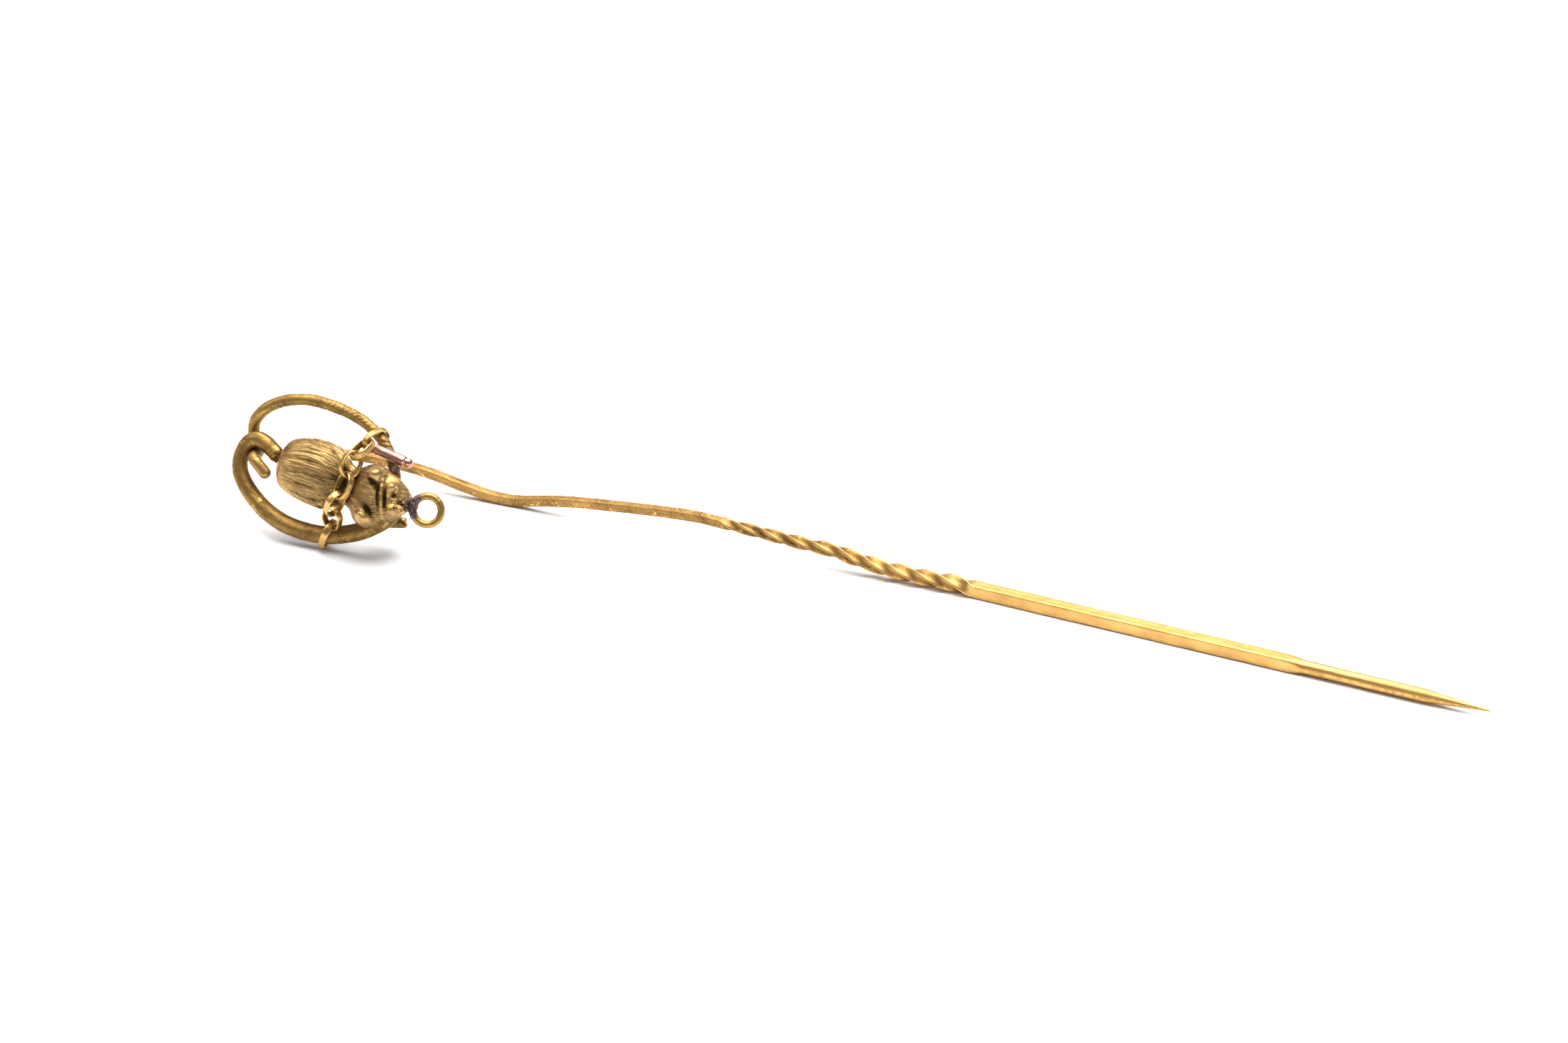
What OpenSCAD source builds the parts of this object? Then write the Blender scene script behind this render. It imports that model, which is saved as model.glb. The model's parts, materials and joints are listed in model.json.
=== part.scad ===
// Stick pin: a small long-tailed animal, seen from its back, hangs by its tail
// in an oval hoop. A chain of flat ribbon links is drawn across its neck, and a
// round ring on its snout is left empty. A square wire, bent, then twisted,
// then straight, runs from behind the animal to the point.
// It lies on a flat surface (z = 0), with the point toward +X.

/* [Head of the pin] */
// centreline length of the oval hoop; the animal and its chain follow it
hoop_long = 8.1; // [7.2:0.1:9.8]
// diameter of the thin upper wire of the hoop
thin_d = 0.58; // [0.46:0.02:0.62]
// diameter of the tail where it forms the lower half of the hoop
thick_d = 0.88; // [0.72:0.02:0.94]
// how far the hoop leans back from the table
head_roll = 60; // [56:1:66]
// width of the animal's body
body_w = 3.2; // [2.6:0.1:3.6]
// depth of the animal's body, back to front
body_depth = 2.1; // [1.8:0.1:2.5]
// width of the animal's head across the ears
head_w = 3.2; // [2.6:0.1:3.6]

/* [Ring, rod and stub] */
// hole of the ring on the snout
ring_hole_d = 1.02; // [0.8:0.02:1.3]
// wire of the ring on the snout
ring_wire_d = 0.40; // [0.32:0.02:0.5]
// diameter of the round red-gold rod
rod_d = 0.52; // [0.44:0.02:0.62]
// length of the red-gold rod with its bead end
rod_len = 2.05; // [1.7:0.05:2.3]
// diameter of the blunt stub below the head
stub_d = 0.54; // [0.42:0.02:0.64]
// length of the blunt stub
stub_len = 1.3; // [1.0:0.05:1.6]

/* [Chain] */
// outside length of a middle link, with the hoop at its usual length
link_len = 1.46; // [1.40:0.02:1.50]
// outside width of a middle link, with the hoop at its usual length
link_w = 1.10; // [1.06:0.02:1.16]
// width of the flat ribbon that the links are bent from
ribbon_w = 0.36; // [0.26:0.02:0.38]
// thickness of that ribbon
ribbon_t = 0.14; // [0.10:0.01:0.15]

/* [Pin wire] */
// side of the square wire between the head and the twist
upper_side = 0.46; // [0.40:0.02:0.58]
// side of the square wire past the twist
lower_side = 0.68; // [0.56:0.02:0.82]
// length of the bent plain stretch behind and beside the head
plain_len = 21.5; // [17:0.5:26]
// length of the twisted stretch
twist_len = 13; // [10:0.5:16]
// number of whole turns in the twist
twist_turns = 2.5; // [2:0.25:3]
// length of the straight square stretch past the twist
square_len = 16.5; // [13:0.5:20]
// length of the round stretch that a point guard grips
round_len = 6; // [5:0.5:7]
// length of the tapered point
point_len = 3.2; // [2.6:0.1:4]
// how far the straight stretch is bent aside from the plain one
side_bend = 4; // [0:1:8]

/* [Hidden] */

k = hoop_long / 8.1;             // size of the head against its usual size
head_pitch = 7;                  // the head end of the animal leans to the table
head_yaw = -2;
thin_r = thin_d / 2;
thick_r = thick_d / 2;
hoop_z = 2.88 * k + thick_r;     // the link round the tail just rests on the table
hoop_c = [2.74 * k, -5.42 * k, hoop_z];
wire_turn = twist_turns * 360;
straight_x = plain_len + twist_len;
tip_run = square_len + round_len + point_len;
back_w = -0.62 * k;              // flat back of the animal's body
seat_w = 0.42 * k;               // flat back of its head, over the hoop
snout_u = 5.25 * k;

// the whole model is set with the middle of its outline over the origin
left_x = -1.81 * k;
right_x = straight_x + tip_run * cos(side_bend);
near_y = -7.93 * k;
far_y = lower_side * 0.64;
centre = [-(left_x + right_x) / 2, -(near_y + far_y) / 2, 0];

gold_dark = [0.53, 0.40, 0.20];
gold = [0.62, 0.49, 0.27];
gold_link = [0.74, 0.59, 0.30];
gold_pin = [0.82, 0.64, 0.32];
gold_rose = [0.74, 0.56, 0.51];
solder = [0.36, 0.30, 0.31];

// ---- lines and tubes -------------------------------------------------------

function unit(v) = v / norm(v);
function bend(a, b, c, d, t) = 0.5 * (2 * b + (c - a) * t
    + (2 * a - 5 * b + 4 * c - d) * t * t + (3 * b - a - 3 * c + d) * t * t * t);
// a smooth line through every point, with n steps from each to the next
function smooth(p, n) = let (m = len(p) - 1) concat(
    [for (i = [0 : m - 1], j = [0 : n - 1])
        bend(p[max(i - 1, 0)], p[i], p[i + 1], p[min(i + 2, m)], j / n)],
    [p[m]]);
function turned_round(p) = [for (i = [len(p) - 1 : -1 : 0]) p[i]];
function heading(p) = let (m = len(p) - 1)
    [for (i = [0 : m]) unit(p[min(i + 1, m)] - p[max(i - 1, 0)])];
// a side direction for each point of a line, carried along without twisting
function carried(t, first) =
    [for (i = 0, s = unit(first - (first * t[0]) * t[0]); i < len(t);
          i = i + 1, s = i < len(t) ? unit(s - (s * t[i]) * t[i]) : s) s];
// section of a rounded square: p = 2 is a circle, larger is squarer
function section(half, p, n) = [for (j = [0 : n - 1])
    let (a = 360 * j / n, c = abs(cos(a)), s = abs(sin(a)))
    half / pow(pow(c, p) + pow(s, p), 1 / p) * [cos(a), sin(a)]];

// a closed skin over rings of equal point count
module skin(rings) {
    n = len(rings[0]);
    m = len(rings);
    pts = [for (r = rings, q = r) q];
    sides = [for (i = [0 : m - 2], j = [0 : n - 1], h = [0, 1])
        let (a = i * n + j, b = i * n + (j + 1) % n)
        h == 0 ? [a, a + n, b] : [b, a + n, b + n]];
    polyhedron(pts, concat([[for (j = [0 : n - 1]) j]], sides,
                           [[for (j = [n - 1 : -1 : 0]) (m - 1) * n + j]]));
}

// a wire along a line; half, square and turn are lists, one value for each point
module wire(p, half, square, turn, first, n) {
    t = heading(p);
    s = carried(t, first);
    skin([for (i = [0 : len(p) - 1])
        let (f = cross(t[i], s[i]))
        [for (q = section(half[i], square[i], n))
            p[i] + (q[0] * cos(turn[i]) - q[1] * sin(turn[i])) * s[i]
                 + (q[0] * sin(turn[i]) + q[1] * cos(turn[i])) * f]]);
}

module at_head() {
    translate(centre + hoop_c) rotate([head_roll, head_pitch, head_yaw])
        children();
}

// ---- the animal ------------------------------------------------------------

// along the animal: place, middle height, half width, middle depth, half depth
bw = body_w / 2;
bd = body_depth / 2;
hw = head_w / 2;
stations = [
    [-2.08, -0.12, 0.20, 0.05, 0.16], [-2.00, -0.12, 0.34 * bw, 0.16, 0.38 * bd],
    [-1.72, -0.10, 0.64 * bw, 0.28, 0.66 * bd],
    [-1.25, -0.07, 0.84 * bw, 0.36, 0.85 * bd],
    [-0.55, -0.05, 0.96 * bw, 0.40, 0.97 * bd],
    [0.20, -0.05, 1.00 * bw, 0.42, 1.00 * bd],
    [0.90, -0.08, 0.97 * bw, 0.46, 0.96 * bd],
    [1.42, -0.10, 0.80 * bw, 0.50, 0.78 * bd],
    [1.90, -0.12, 0.62 * bw, 0.62, 0.50 * bd],
    [2.36, -0.14, 0.66 * hw, 0.84, 0.50 * bd],
    [2.90, -0.20, 0.90 * hw, 1.08, 0.68 * bd],
    [3.55, -0.22, 0.97 * hw, 1.16, 0.76 * bd],
    [4.10, -0.18, 0.82 * hw, 1.14, 0.70 * bd],
    [4.60, -0.10, 0.64 * hw, 1.08, 0.60 * bd],
    [5.00, -0.06, 0.45 * hw, 1.02, 0.48 * bd],
    [5.25, -0.03, 0.28 * hw, 1.00, 0.36 * bd]];
// raised places: [along, up, height, spread along, spread up]
bumps = [[3.36, 0.92, 0.34, 0.36, 0.26], [3.44, -1.30, 0.34, 0.38, 0.28],
         [4.42, 0.60, 0.20, 0.24, 0.20], [4.78, -0.50, 0.20, 0.22, 0.18],
         [3.85, -0.20, 0.10, 0.12, 0.60]];
function raised(u, v, i = 0) = i >= len(bumps) ? 0 :
    let (b = bumps[i], x = (u - b[0]) / b[3], y = (v - b[1]) / b[4])
    b[2] * exp(-(x * x + y * y) / 1.4) + raised(u, v, i + 1);
function back(u) = let (t = min(max((u - 1.5) / 0.9, 0), 1))
    back_w / k + (seat_w - back_w) / k * t * t * (3 - 2 * t);

module figure() {
    n = 44;
    color(gold) at_head() skin([for (s = smooth(stations, 3))
        [for (j = [0 : n - 1])
            let (a = 360 * j / n,
                 v = s[1] + s[2] * cos(a),
                 w = s[3] + s[4] * sin(a) + raised(s[0], v) * max(0, sin(a)))
            [s[0], v, max(w, back(s[0]))] * k]]);
}

// ---- the hoop: a thin wire above, the animal's own tail below --------------

// the wire starts behind the head, runs over the top, passes behind the tail
// and hooks forward under it
wire_line = [[3.98, 0.50, 0.06], [3.82, 1.00, 0.06], [3.50, 1.58, 0.04],
    [3.02, 2.12, 0.02], [2.34, 2.62, 0], [1.25, 3.04, 0], [-0.10, 3.22, 0],
    [-1.45, 3.16, 0], [-2.60, 2.80, 0], [-3.50, 2.16, -0.06],
    [-4.00, 1.42, -0.30], [-4.08, 0.80, -0.62], [-3.84, 0.28, -0.74],
    [-3.48, -0.08, -0.44], [-3.36, -0.24, 0.06], [-3.28, -0.34, 0.42],
    [-2.92, -0.56, 0.54], [-2.48, -0.86, 0.48]];
// the tail leaves the rump, arches over the wire and sweeps round below
tail_line = [[-2.13, -0.01, 0.02], [-2.50, 0.22, 0.02], [-3.00, 0.46, 0.02],
    [-3.48, 0.54, 0.02], [-3.86, 0.30, 0], [-4.06, -0.16, 0],
    [-4.08, -0.74, 0], [-3.82, -1.36, 0], [-3.18, -1.98, 0],
    [-2.26, -2.56, 0], [-1.16, -2.92, 0], [0.05, -3.02, 0],
    [1.30, -2.84, 0], [2.45, -2.40, -0.02], [3.38, -1.80, -0.04],
    [4.06, -1.10, -0.04], [4.36, -0.50, -0.04]];

module hoop_wire() {
    p = k * smooth(wire_line, 4);
    m = len(p) - 1;
    tip = [for (x = [0.35, 0.65, 0.88, 0.99]) x];
    ends = [for (x = tip) p[m] + unit(p[m] - p[m - 1]) * thin_r * x];
    line = concat(p, ends);
    half = concat([for (q = p) thin_r], [for (x = tip) thin_r * sqrt(1 - x * x)]);
    flat = [for (q = line) 2];
    none = [for (q = line) 0];
    color(gold_dark) at_head() wire(line, half, flat, none, [0, 0, 1], 16);
}

module tail_strand() {
    p = k * smooth(tail_line, 4);
    m = len(p) - 1;
    half = [for (i = [0 : m]) let (f = i / m)
        thick_r * (f < 0.2 ? 0.94 - 0.3 * f : 0.88 + 0.12 * min(1, (f - 0.2) / 0.3))];
    color(gold_dark) at_head() wire(p, half, [for (q = p) 2],
                                    [for (q = p) 0], [0, 0, 1], 18);
}

// ---- the ring on the snout -------------------------------------------------

worn = 0.03;                       // depth of the worn flat inside the ring
ring_r = ring_hole_d / 2 + ring_wire_d / 2 - worn;
ring_at = [6.25 * k, -0.04 * k, 1.02 * k];
ring_lean = 12;

module at_ring() {
    at_head() translate(ring_at) rotate([0, ring_lean, 0]) children();
}

// a round wire ring, worn flat on the inside
module ring_body(extra) {
    rotate_extrude($fn = 96) intersection() {
        translate([ring_r, 0]) circle(d = ring_wire_d + 2 * extra, $fn = 48);
        translate([ring_hole_d / 2 - extra, -ring_wire_d])
            square([ring_wire_d * 2, ring_wire_d * 2]);
    }
}

module snout_ring() {
    color(gold) at_ring() ring_body(0);
}

module ring_solder() {
    reach = ring_at[0] - snout_u;
    color(solder) difference() {
        at_head() translate([snout_u, -0.03 * k, 1.0 * k]) rotate([0, 90, 0])
            cylinder(h = reach - ring_r, r1 = 0.36 * k,
                     r2 = 0.27 * k, $fn = 48);
        at_ring() ring_body(0.004);
    }
}

// ---- rods beside the head --------------------------------------------------

rod_r = rod_d / 2;
rod_at = [2.72 * k, 1.96 * k, 0.10 * k + thin_r + rod_r];
rod_aim = -5;                      // it falls slightly toward the snout

module rose_rod() {
    groove = rod_len - rod_r - 0.16;
    color(gold_rose) at_head() translate(rod_at)
        rotate([0, 90, rod_aim]) rotate_extrude($fn = 64) polygon(concat(
            [[0, 0], [rod_r, 0], [rod_r, groove - 0.05],
             [rod_r * 0.80, groove], [rod_r * 0.95, groove + 0.08]],
            [for (a = [0 : 9 : 81]) [rod_r * 0.95 * cos(a),
                groove + 0.08 + (rod_len - groove - 0.08) * sin(a)]],
            [[0, rod_len]]));
}

// solder between the rod and the ear
module rod_solder() {
    color(solder) at_head() translate([3.98 * k, 1.34 * k, 0.62 * k])
        rotate([90, 0, 0]) cylinder(h = 0.24 * k, r1 = 0.16 * k, r2 = 0.24 * k,
                                    center = true, $fn = 40);
}

stub_at = [3.55 * k, -1.50 * k, -0.06 * k - thick_r - stub_d / 2];

module lower_stub() {
    color(gold_dark) at_head() translate(stub_at) rotate([0, 90, 17])
        cylinder(h = stub_len, d = stub_d, $fn = 48);
}

// ---- the pin wire ----------------------------------------------------------

x1 = plain_len / 21.5;             // the bends keep their place along the wire
up = upper_side / 2;
low = lower_side / 2;
// from the animal's back, round behind it and along to the twist
stem_top = hoop_c + [-0.54, 0.48, -0.40] * k;
bends = [stem_top, stem_top + [-0.02, 0.61, -0.35] * k,
    stem_top + [-0.34, 2.28, -0.78] * k,
    [1.42 * k, -1.10 * k, 1.40], [1.66 * k, -0.42 * k, 1.26],
    [2.30 * k, -0.08 * k, 1.18], [3.40 * x1, 0, 1.14], [5.70 * x1, 0, 0.98],
    [7.80 * x1, 0, 0.56], [9.40 * x1, 0, up + 0.06], [10.8 * x1, 0, up + 0.08],
    [12.6 * x1, 0, 0.66], [14.2 * x1, 0, 0.90], [16.2 * x1, 0, 1.10],
    [18.6 * x1, 0, 1.30], [20.3 * x1, 0, 1.38], [plain_len, 0, 1.32]];
// through the twist, down to the table
drop = [[0.30, 1.06], [0.45, 0.95], [0.55, 0.72], [0.68, 0.50], [0.82, 0.44],
        [0.94, 0.44]];
twisted = [for (d = drop)
    [plain_len + twist_len * d[0], 0, max(d[1], low * 1.3)]];

module pin_shank() {
    steps = 6;
    a = smooth(concat(bends, twisted,
        [[straight_x, 0, low], [straight_x + 2, -2 * tan(side_bend / 2), low]]), steps);
    aim = [cos(side_bend), -sin(side_bend), 0];
    foot = [straight_x, 0, low];
    b = [for (q = a) if (q[0] < straight_x - 0.3) q];
    p = concat(b, [foot, foot + aim * 0.4, foot + aim * (square_len - 3),
        foot + aim * (square_len - 1.2), foot + aim * (square_len + 0.4)]);
    through = [for (q = p) q[1] < -0.5 * k && q[0] < 3 * k ? 0 :
        min(max((q[0] - plain_len) / twist_len, 0), 1)];
    m = len(p) - 1;
    half = [for (i = [0 : m]) i == m ? low - 0.01 :
        up + (low - up) * through[i]];
    square = [for (i = [0 : m]) i <= 2 * steps ? 2 :
        i <= 3 * steps ? 2 + 4 * (i - 2 * steps) / steps :
        i < m - 1 ? 6 : i == m - 1 ? 4 : 2];
    color(gold_pin) translate(centre) {
        // laid out from the point's end, where a flat side is down on the table
        wire(turned_round(p), turned_round(half), turned_round(square),
             -wire_turn * turned_round(through), [0, 0, 1], 16);
        translate(foot + aim * square_len) rotate([0, 90, -side_bend]) {
            cylinder(h = round_len, r = low, $fn = 64);
            translate([0, 0, round_len])
                cylinder(h = point_len - 0.06, r1 = low, r2 = 0.06, $fn = 64);
            translate([0, 0, round_len + point_len - 0.06])
                sphere(r = 0.06, $fn = 32);
        }
    }
}

// solder collar round the wire on the animal's back
module stem_solder() {
    run = bends[1] - bends[0];
    tilt = acos(run[2] / norm(run));
    spin = atan2(run[1], run[0]);
    color(solder) difference() {
        translate(centre + stem_top) rotate([0, tilt, spin])
            translate([0, 0, 0.02]) cylinder(h = 0.42 * k, r1 = 0.62 * k,
                                             r2 = up + 0.03, $fn = 48);
        translate(centre + stem_top) rotate([0, tilt, spin])
            translate([0, 0, -1]) cylinder(h = 3, r = up + 0.01, $fn = 48);
    }
}

// ---- the chain -------------------------------------------------------------

// a flat ribbon bent into an oval: X along the link, Z through its hole
module link(long, wide) {
    module oval(l, w) {
        for (s = [-1, 1]) translate([s * (l - w) / 2, 0]) circle(d = w, $fn = 72);
        square([l - w, w], center = true);
    }
    translate([0, 0, -ribbon_w / 2]) linear_extrude(ribbon_w) difference() {
        oval(long, wide);
        oval(long - 2 * ribbon_t, wide - 2 * ribbon_t);
    }
}

// places on the thin wire and on the tail that the end links go round
wire_hold = [2.70, 2.32, 0.02];
tail_hold = [1.30, -2.84, 0];
// middle of each link, and how far it is rolled about its own length
link_at = [[2.46, 2.32, 0.26], [2.22, 1.80, 1.12], [2.08, 0.96, 1.62],
    [2.10, -0.12, 1.78], [1.82, -1.10, 1.54], [1.66, -1.86, 0.86],
    [1.40, -2.74, 0.10]];
link_roll = [-54, 41, -49, 36, -72, 7, -102];
// the end links are made larger, to go round the wire and the tail
larger = [[0.16, 0.12], [0, 0], [0, 0], [0, 0], [0, 0], [0, 0], [0.22, 0.24]];

// each link points from the link before it to the one after it
module laid_link(i) {
    run = concat([wire_hold], link_at, [tail_hold]);
    d = unit(run[i + 2] - run[i]);
    color(gold_link) at_head() translate(link_at[i] * k)
        rotate([0, -asin(d[2]), atan2(d[1], d[0])]) rotate([link_roll[i], 0, 0])
            link((link_len + larger[i][0]) * k, (link_w + larger[i][1]) * k);
}

module link_1() { laid_link(0); }
module link_2() { laid_link(1); }
module link_3() { laid_link(2); }
module link_4() { laid_link(3); }
module link_5() { laid_link(4); }
module link_6() { laid_link(5); }
module link_7() { laid_link(6); }

figure();
tail_strand();
hoop_wire();
snout_ring();
ring_solder();
rose_rod();
rod_solder();
lower_stub();
pin_shank();
stem_solder();
link_1();
link_2();
link_3();
link_4();
link_5();
link_6();
link_7();
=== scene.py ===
"""A small gold stick pin on a white table: an animal hanging by its tail in an oval hoop, with a chain
across its neck, an empty ring at its snout, and a long bent and twisted pin wire."""

import json
import math

import bpy
import numpy as np
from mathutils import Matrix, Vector


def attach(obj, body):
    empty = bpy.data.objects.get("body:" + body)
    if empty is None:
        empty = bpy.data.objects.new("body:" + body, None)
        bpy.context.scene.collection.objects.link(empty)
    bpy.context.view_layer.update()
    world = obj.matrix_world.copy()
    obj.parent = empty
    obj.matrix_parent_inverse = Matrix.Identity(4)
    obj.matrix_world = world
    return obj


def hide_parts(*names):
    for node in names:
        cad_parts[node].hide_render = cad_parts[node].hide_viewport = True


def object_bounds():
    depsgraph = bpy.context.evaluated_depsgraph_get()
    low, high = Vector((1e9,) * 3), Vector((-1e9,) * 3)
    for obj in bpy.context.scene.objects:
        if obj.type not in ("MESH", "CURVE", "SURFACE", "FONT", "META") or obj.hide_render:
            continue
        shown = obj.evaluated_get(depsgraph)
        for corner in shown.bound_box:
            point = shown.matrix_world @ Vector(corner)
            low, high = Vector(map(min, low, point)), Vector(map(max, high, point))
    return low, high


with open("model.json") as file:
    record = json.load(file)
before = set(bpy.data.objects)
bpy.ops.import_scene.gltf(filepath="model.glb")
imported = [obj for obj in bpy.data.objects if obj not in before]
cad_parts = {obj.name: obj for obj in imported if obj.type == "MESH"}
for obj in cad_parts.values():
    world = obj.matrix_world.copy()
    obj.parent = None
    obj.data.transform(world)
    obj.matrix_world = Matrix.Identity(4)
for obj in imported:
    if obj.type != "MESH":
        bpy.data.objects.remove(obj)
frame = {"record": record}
cad_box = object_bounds()
MM = 0.001


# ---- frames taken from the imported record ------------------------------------

def turn(axis, degrees):
    c, s = math.cos(math.radians(degrees)), math.sin(math.radians(degrees))
    return np.array({"x": [[1, 0, 0], [0, c, -s], [0, s, c]],
                     "y": [[c, 0, s], [0, 1, 0], [-s, 0, c]],
                     "z": [[c, -s, 0], [s, c, 0], [0, 0, 1]]}[axis])


mounts = {m["name"]: m for m in frame["record"]["mounts"]}
HEAD = turn("z", -2) @ turn("y", 7) @ turn("x", 60)      # u along the animal, v up, w outward
RING_AT = np.array([6.25, -0.04, 1.02])
HEAD_AT = np.array(mounts["snout_ring_hole"]["pos_m"]) / MM - HEAD @ RING_AT
AIM = np.array(mounts["point_pin"]["axis"])
AIM = AIM / np.linalg.norm(AIM)
LOW = mounts["point_pin"]["dims"]["r_mm"]
UP = 0.23
SQUARE, ROUND, POINT = 16.5, mounts["point_pin"]["dims"]["length_mm"], 3.2
PLAIN, TWIST = 21.5, 13.0
FOOT = np.array([PLAIN + TWIST, 0, LOW])
TABLE = np.array(mounts["point_pin"]["pos_m"]) / MM - FOOT - AIM * (SQUARE + ROUND / 2)


def head(p):
    return p @ HEAD.T + HEAD_AT


# ---- noise and lines ---------------------------------------------------------

def noise(x, y, seed, z=0.0):
    """Smooth value noise from -1 to 1 on a lattice of unit cells."""
    x, y, z = np.broadcast_arrays(np.asarray(x, float), np.asarray(y, float), np.asarray(z, float))
    table = np.random.default_rng(seed).uniform(-1, 1, 4096)
    i, j, k = (np.floor(q).astype(int) for q in (x, y, z))
    fx, fy, fz = (q - n for q, n in ((x, i), (y, j), (z, k)))
    fx, fy, fz = (f * f * (3 - 2 * f) for f in (fx, fy, fz))
    out = 0
    for a in (0, 1):
        for b in (0, 1):
            for c in (0, 1):
                h = (i + a) * 73 + (j + b) * 1201 + (k + c) * 3571
                h = (h ^ (h >> 5)) * 2654435 % 4096
                out = out + (table[h] * (fx if a else 1 - fx) * (fy if b else 1 - fy)
                             * (fz if c else 1 - fz))
    return out


def lumps(p, size, seed):
    """Noise at points in mm, with lumps of that size in mm."""
    return noise(p[..., 0] / size, p[..., 1] / size, seed, p[..., 2] / size)


def step(a, b, x):
    t = np.clip((x - a) / (b - a), 0, 1)
    return t * t * (3 - 2 * t)


def smooth(points, n):
    """The part's own smooth line through points, n steps for each stretch."""
    p = np.array(points, float)
    m = len(p) - 1
    out = []
    for i in range(m):
        a, b, c, d = p[max(i - 1, 0)], p[i], p[i + 1], p[min(i + 2, m)]
        for j in range(n):
            t = j / n
            out.append(0.5 * (2 * b + (c - a) * t + (2 * a - 5 * b + 4 * c - d) * t * t
                              + (3 * b - a - 3 * c + d) * t ** 3))
    return np.array(out + [p[m]])


def sides(p, first):
    """Heading and two side directions at each point, carried along without twisting."""
    t = np.gradient(p, axis=0)
    t /= np.linalg.norm(t, axis=1)[:, None]
    s = np.zeros_like(p)
    last = np.array(first, float)
    for i in range(len(p)):
        last = last - (last @ t[i]) * t[i]
        last /= np.linalg.norm(last)
        s[i] = last
    return t, s, np.cross(t, s)


def length_along(p):
    return np.concatenate([[0], np.cumsum(np.linalg.norm(np.diff(p, axis=0), axis=1))])


# ---- meshes -------------------------------------------------------------------

def mesh_object(name, verts, faces, body, node, material, dirt_and_shade, flow=None):
    mesh = bpy.data.meshes.new(name)
    mesh.from_pydata((verts * MM).tolist(), [], faces)
    mesh.validate()
    mesh.shade_smooth()
    # this attribute holds dirt in hollows and joints; on the animal, the pin wire and the chain links it
    # also holds painted shade
    layer = mesh.attributes.new("dirt_and_shade", "FLOAT", "POINT")
    layer.data.foreach_set("value", np.asarray(dirt_and_shade, np.float32).ravel())
    layer = mesh.attributes.new("flow", "FLOAT_VECTOR", "POINT")
    layer.data.foreach_set("vector", np.asarray(verts if flow is None else flow, np.float32).ravel())
    piece = bpy.data.objects.new(name, mesh)
    bpy.context.scene.collection.objects.link(piece)
    mesh.materials.append(material)
    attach(piece, body)
    if node:
        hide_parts(node)
    return piece


def ring_faces(m, n, closed=False):
    faces = []
    for i in range(m if closed else m - 1):
        a, b = i * n, (i + 1) % m * n
        faces += [(a + j, b + j, b + (j + 1) % n, a + (j + 1) % n) for j in range(n)]
    if not closed:
        faces.append(tuple(range(n)))
        faces.append(tuple((m - 1) * n + j for j in range(n - 1, -1, -1)))
    return faces


def section(half, p, a):
    """Radius of a rounded square of that half width at angle a; p = 2 is a circle."""
    return half / (np.abs(np.cos(a)) ** p + np.abs(np.sin(a)) ** p) ** (1 / p)


def tube(p, radius, first, n, relief=None):
    """Rings round a line. radius(i array, angle array) and relief work on whole grids."""
    t, s, f = sides(p, first)
    a = np.linspace(0, 2 * math.pi, n, endpoint=False)[None, :]
    along = length_along(p)[:, None]
    r = radius(along, a) * np.ones((len(p), n))
    out = s[:, None] * np.cos(a)[..., None] + f[:, None] * np.sin(a)[..., None]
    rings = p[:, None] + out * r[..., None]
    depth = relief(along, a, rings, out) if relief else np.zeros(r.shape)
    rings = rings + out * depth[..., None]
    flow = np.stack([along * np.ones(r.shape), a * r, np.zeros(r.shape)], -1)
    return rings, depth, flow, along, a


# ---- materials ------------------------------------------------------------------

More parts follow.
